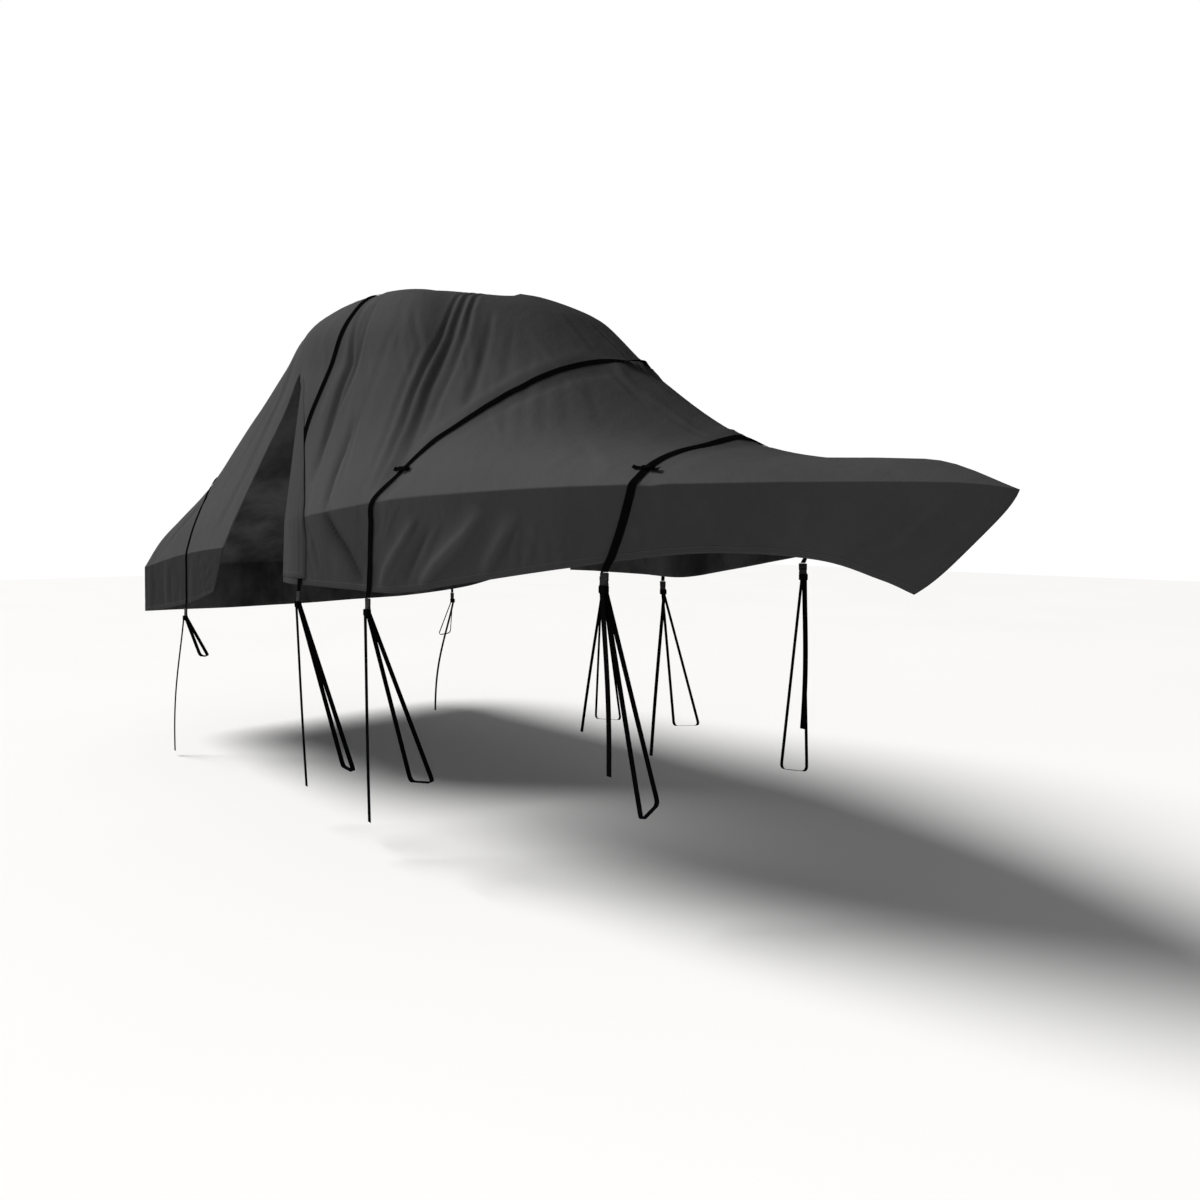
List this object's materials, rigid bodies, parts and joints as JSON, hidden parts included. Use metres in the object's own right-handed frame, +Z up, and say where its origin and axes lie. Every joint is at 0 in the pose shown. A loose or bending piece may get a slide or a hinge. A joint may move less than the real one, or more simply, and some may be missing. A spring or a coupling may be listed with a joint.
{
  "type": "boat cover",
  "caption": "Fitted open-bottomed cloth cover with a crowned top, a side wedge opening, webbing over-straps, buckles, tie loops and free strap tails.",
  "frame": {"origin": "on the inner face of the cloth under its top, on the middle line, 3.40 m forward of the stern", "axes": "+X to the bow, +Y to port, +Z up"},
  "size_m": [7.1507, 2.4, 3.2339],
  "materials": {
    "cloth": "woven, matte",
    "webbing": "woven webbing",
    "buckle": "satin"
  },
  "bodies": {
    "root": {"cover_cloth": "cloth", "strap_aft": "webbing", "strap_mid": "webbing", "strap_fore": "webbing", "strap_bow": "webbing", "buckle_aft_starboard": "buckle", "tie_aft_starboard": "webbing", "tail_aft_starboard": "webbing", "buckle_aft_port": "buckle", "tie_aft_port": "webbing", "tail_aft_port": "webbing", "buckle_mid_starboard": "buckle", "tie_mid_starboard": "webbing", "tail_mid_starboard": "webbing", "buckle_mid_port": "buckle", "tie_mid_port": "webbing", "tail_mid_port": "webbing", "buckle_fore_starboard": "buckle", "tie_fore_starboard": "webbing", "tail_fore_starboard": "webbing", "buckle_fore_port": "buckle", "tie_fore_port": "webbing", "tail_fore_port": "webbing", "buckle_bow_starboard": "buckle", "tie_bow_starboard": "webbing", "tail_bow_starboard": "webbing", "buckle_bow_port": "buckle", "tie_bow_port": "webbing", "tail_bow_port": "webbing", "guide_fore_starboard": "webbing", "guide_fore_port": "webbing", "guide_bow_starboard": "webbing", "guide_bow_port": "webbing"}
  },
  "joints": []
}
